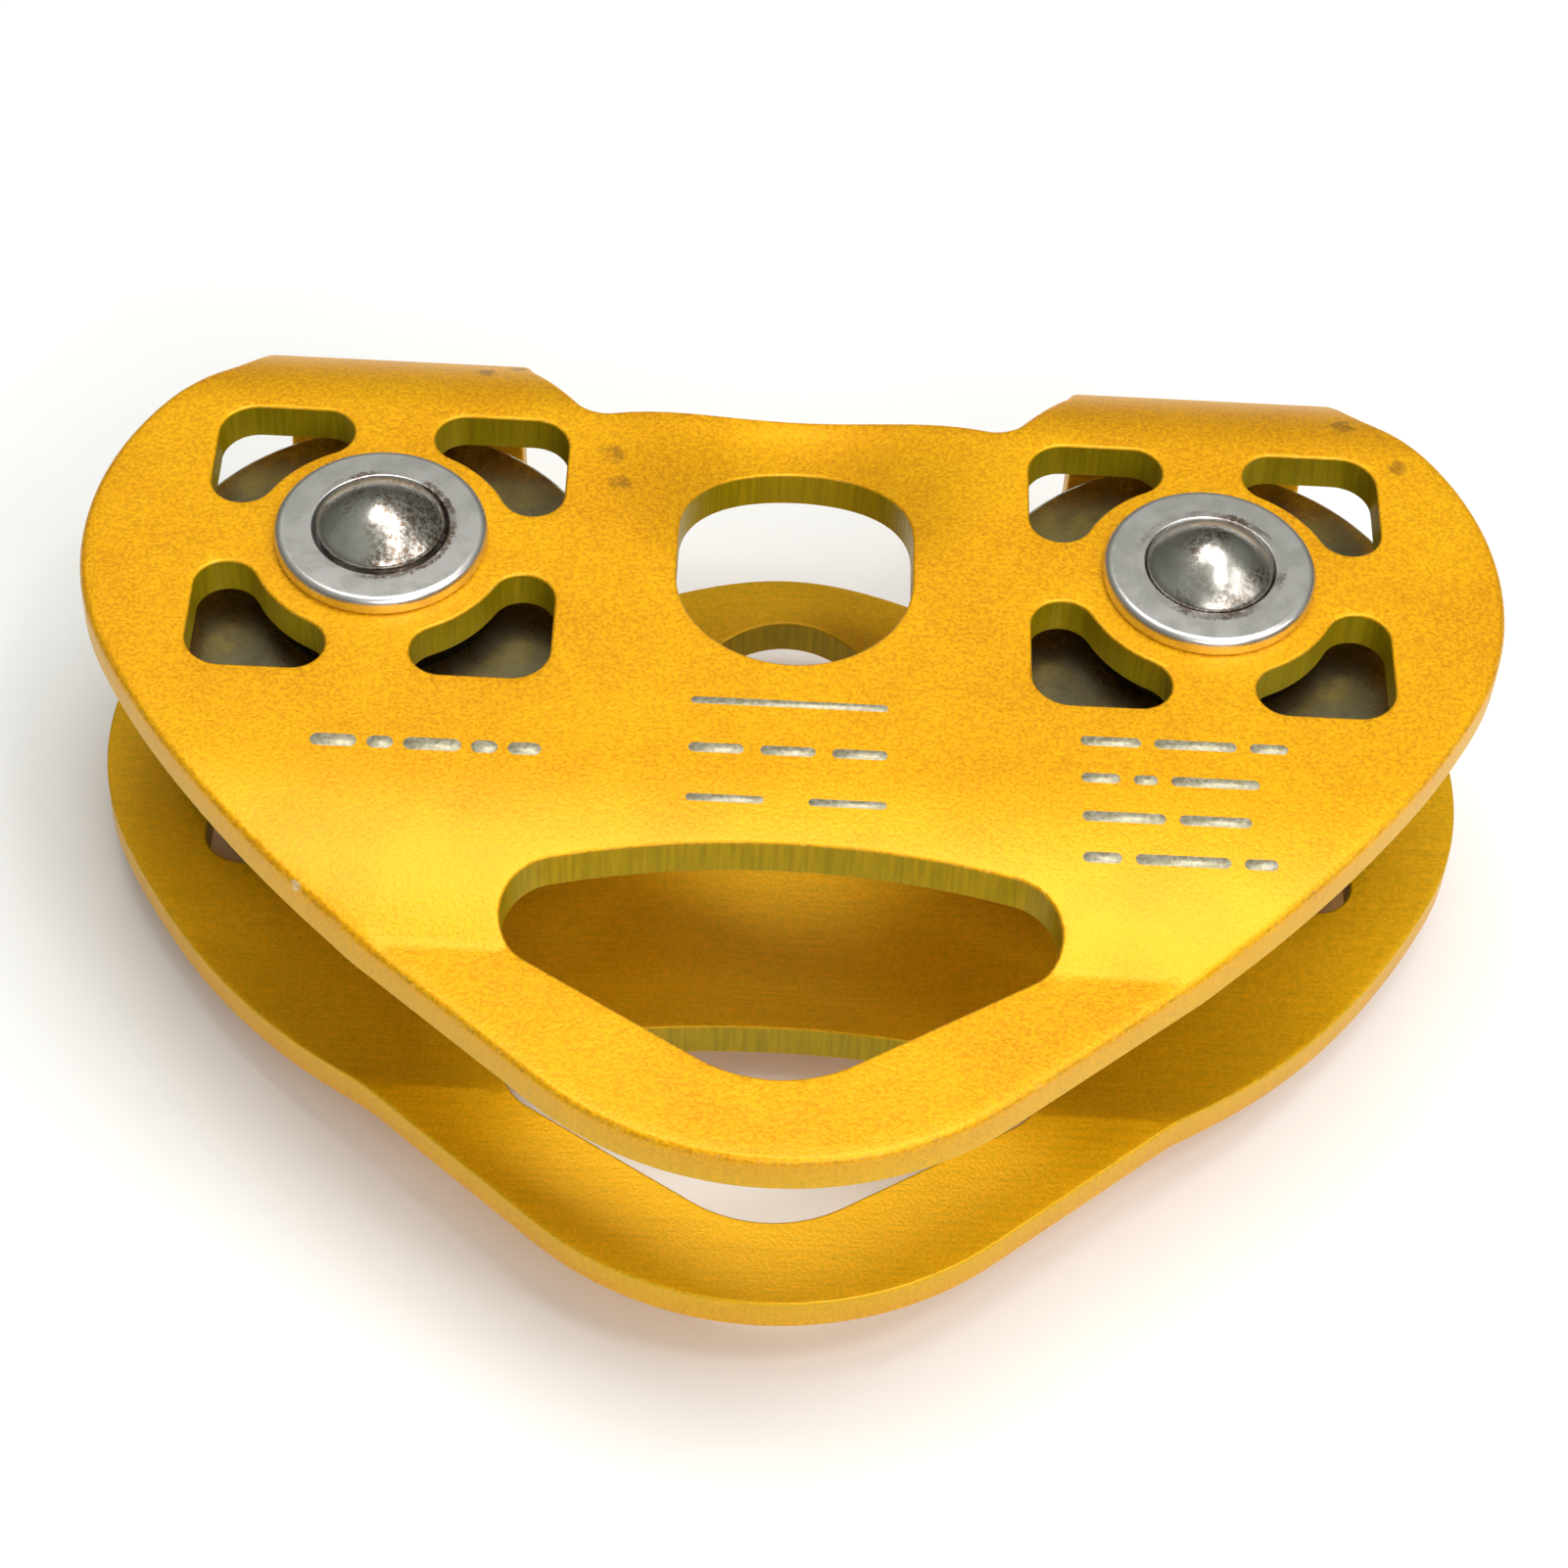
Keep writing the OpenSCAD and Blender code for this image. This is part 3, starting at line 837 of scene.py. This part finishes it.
def wheels_and_rivets():
    for side, x in zip(SIDES, (-axle_x, axle_x)):
        # The sheaves' dark, yellowish steel colour is painted shade between the plates and a painted
        # reflection of the gold; tool rings and rust are their own.
        sheave_steel = steel_material(
            side + "_sheave_steel", (0.34, 0.31, 0.20, 1), (0.15, 0.13, 0.075, 1), 0.30, x,
            turned=0.8, rust=0.1, rust_r=(11, 22),
        )
        rivet_steel = steel_material(
            side + "_rivet_steel", (0.68, 0.65, 0.60, 1), (0.46, 0.44, 0.40, 1), 0.24, x,
            rust=1.1, rust_r=(0.5, 7),
        )
        washer_steel = steel_material(
            side + "_washer_steel", (0.82, 0.78, 0.76, 1), (0.68, 0.65, 0.63, 1), 0.30, x,
            rust=1.5, rust_r=(6, 8),
        )
        bright_steel = steel_material(
            side + "_bright_steel", (0.62, 0.62, 0.62, 1), (0.45, 0.45, 0.45, 1), 0.18, x, turned=0.6
        )
        wheel = turned(
            side + "_grooved_wheel", sheave_outline(), x, sheave_steel, side + "_wheel", "sheave_steel",
            steps=192,
        )
        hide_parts(side + "_sheave")
        edge_z = washer_top - (0.2 if side == "left" else 0.55)
        rivet(side + "_rivet", x, edge_z, rivet_steel)
        hole_r = head_r + (0.45 if side == "left" else 0.2)
        for face in FACES:
            at = side + "_" + face
            washer = turned(
                at + "_washer", washer_outline(hole_r), x, washer_steel, "frame", "washer_steel", face
            )
            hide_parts(at + "_outer_washer")
            spacer = turned(
                at + "_spacer", spacer_outline(), x, bright_steel, "frame", "bright_steel", face
            )
            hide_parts(at + "_side_spacer")


def inner_parts():
    """Materials for the bearing parts that stay as the CAD made them."""
    looks = {
        "retaining_ring": ((0.16, 0.16, 0.17, 1), (0.08, 0.08, 0.09, 1), 0.35),
        "bearing_outer_ring": ((0.70, 0.70, 0.70, 1), (0.55, 0.55, 0.56, 1), 0.14),
        "bearing_inner_ring": ((0.70, 0.70, 0.70, 1), (0.55, 0.55, 0.56, 1), 0.14),
        "bearing_balls": ((0.75, 0.75, 0.75, 1), (0.65, 0.65, 0.66, 1), 0.08),
        "bearing_cage": ((0.62, 0.46, 0.20, 1), (0.45, 0.31, 0.12, 1), 0.30),
        "bearing_shields": ((0.40, 0.40, 0.41, 1), (0.26, 0.26, 0.27, 1), 0.32),
    }
    for side, x in zip(SIDES, (-axle_x, axle_x)):
        sleeve = steel_material(
            side + "_sleeve_steel", (0.5, 0.5, 0.5, 1), (0.35, 0.35, 0.35, 1), 0.3, x, turned=0.6
        )
        paint(side + "_distance_sleeve", sleeve)
        for part, (colour, dark, roughness) in looks.items():
            material = steel_material(side + "_" + part, colour, dark, roughness, x, turned=0.4)
            for face in FACES:
                paint(side + "_" + face + "_" + part, material)


def paint(node, material):
    slots = frame["nodes"][node].material_slots
    for slot in slots:
        slot.material = material


# ---- marks on the front cheek ----


def mark_solid(vertices, faces, outline):
    """Adds a thin slab that follows the sheet, from a flat outline of (x, s) points."""
    proud, sunk = -0.03, 0.1
    start = len(vertices)
    count = len(outline)
    vertices += [bent(x, s, proud) for x, s in outline]
    vertices += [bent(x, s, sunk) for x, s in outline]
    faces.append(tuple(range(start, start + count)))
    faces.append(tuple(range(start + 2 * count - 1, start + count - 1, -1)))
    for i in range(count):
        j = (i + 1) % count
        faces.append((start + i, start + count + i, start + count + j, start + j))


def bar(x, s, length, height):
    """A dash with round ends, from x to the right and centred on the height s."""
    r = height / 2
    return arc([x + length - r, s], r, -90, 90, 15) + arc([x + r, s], r, 90, 270, 15)


def marks(material):
    """Plain dashes, with no lettering, where the real pulley has laser marks."""
    vertices, faces = [], []
    height = 1.1
    x = -43.0
    for length in (4.2, 2.4, 5.2, 2.4, 3.0):
        mark_solid(vertices, faces, bar(x, -25.4, length, height * 1.3))
        x += length + 0.9
    for row, dashes in enumerate(((5.5, 7.5, 3.5), (3.5, 2.2, 8.0), (7.5, 6.5), (3.5, 8.5, 3.0))):
        x = 26.5
        for length in dashes:
            mark_solid(vertices, faces, bar(x, -21.2 - 4.4 * row, length, height))
            x += length + 1.2
    for x, s, length in ((-9, -18.5, 18), (-9, -30, 7), (2, -30, 7)):
        mark_solid(vertices, faces, bar(x, s, length, 0.8))
    for k in range(3):
        mark_solid(vertices, faces, bar(-9 + 6.5 * k, -24.2, 5, height))
    new_object("front_marks", vertices, faces, material, "frame")


# ---- studio ----


def camera():
    """The viewing angle: in front of the lower edge and well above the front cheek."""
    data = bpy.data.cameras.new("camera")
    data.sensor_width = 36
    data.lens = 89.94
    data.clip_start = 0.01
    item = bpy.data.objects.new("camera", data)
    item.location = (-0.0043, -0.23975, 0.3039)
    item.rotation_euler = Euler([math.radians(a) for a in (40.542, -2.293, 1.661)])
    bpy.context.scene.collection.objects.link(item)
    bpy.context.scene.camera = item


def softbox(name, place, aim, size, power):
    """An area light of a width and a depth at a place in metres, aimed at a point."""
    data = bpy.data.lights.new(name, "AREA")
    data.shape = "RECTANGLE"
    data.size, data.size_y = size
    data.energy = power
    item = bpy.data.objects.new(name, data)
    item.location = place
    item.rotation_euler = (Vector(aim) - Vector(place)).to_track_quat("-Z", "Y").to_euler()
    bpy.context.scene.collection.objects.link(item)


def studio():
    """A pale floor, a soft white surround and four softboxes."""
    graph = Graph("studio_floor")
    tone = graph.fade(graph.noise(0.02), 0.3, 0.7, 0.0, 1.0)
    graph.set(Base_Color=graph.mix(tone, (0.91, 0.91, 0.91, 1), (0.93, 0.93, 0.93, 1)), Roughness=0.9)
    reach = 3.0
    mesh = bpy.data.meshes.new("floor")
    corners = [(-reach, -reach, 0), (reach, -reach, 0), (reach, reach, 0), (-reach, reach, 0)]
    mesh.from_pydata(corners, [], [(0, 1, 2, 3)])
    mesh.materials.append(graph.material)
    floor = bpy.data.objects.new("floor", mesh)
    bpy.context.scene.collection.objects.link(floor)

    world = bpy.data.worlds.new("studio")
    world.use_nodes = True
    nodes, links = world.node_tree.nodes, world.node_tree.links
    coords = nodes.new("ShaderNodeTexCoord")
    split = nodes.new("ShaderNodeSeparateXYZ")
    rise = nodes.new("ShaderNodeMapRange")
    rise.inputs["From Min"].default_value = 0.0
    rise.inputs["To Min"].default_value = 0.06
    rise.inputs["To Max"].default_value = 0.46
    links.new(coords.outputs["Generated"], split.inputs["Vector"])
    links.new(split.outputs["Z"], rise.inputs["Value"])
    links.new(rise.outputs["Result"], nodes["Background"].inputs["Strength"])
    nodes["Background"].inputs["Color"].default_value = (0.95, 1.0, 0.9, 1)
    bpy.context.scene.world = world
    bpy.context.scene.view_settings.view_transform = "Standard"

    middle = (0, 0, 0.02)
    softbox("overhead", (0.05, 0.12, 0.75), middle, (0.6, 0.3), 3.3)
    softbox("right_side", (0.7, -0.2, 0.6), middle, (0.5, 0.5), 1.6)
    softbox("front", (0.25, -0.75, 0.6), middle, (0.6, 0.5), 3.8)
    softbox("key", (0.26, -0.24, 0.8), middle, (0.16, 0.12), 0.9)


camera()
studio()
frame_plate(gold_material())
marks(etched_material())
wheels_and_rivets()
inner_parts()
